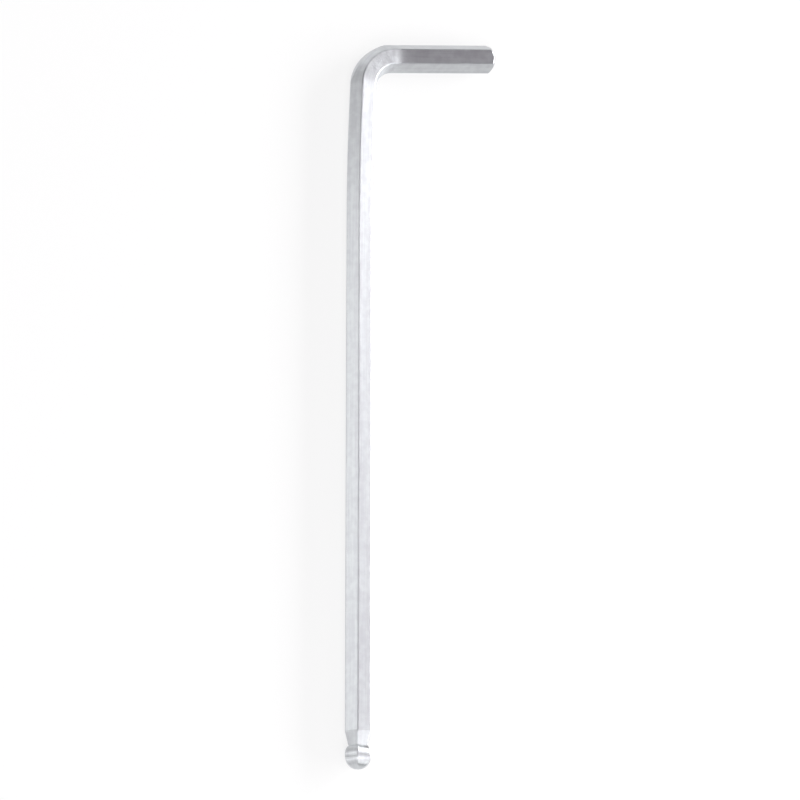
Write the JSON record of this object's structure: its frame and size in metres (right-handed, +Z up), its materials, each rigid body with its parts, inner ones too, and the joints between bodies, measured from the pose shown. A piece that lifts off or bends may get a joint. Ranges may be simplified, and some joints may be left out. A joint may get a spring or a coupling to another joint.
{
  "type": "hex key",
  "caption": "L-shaped hexagon bar key with a faceted ball end on its long arm and a chamfered end on its short arm.",
  "frame": {"origin": "middle of the key's footprint as it lies on one flat, at the height of the surface it lies on", "axes": "+Y along the long arm towards the bend, +X the way the short arm points, +Z up out of the bend's plane"},
  "size_m": [0.0262, 0.1182, 0.004],
  "materials": {
    "plated_steel": "satin plated, slightly cool grey"
  },
  "bodies": {
    "root": {"hex_key": "plated_steel"}
  },
  "joints": []
}
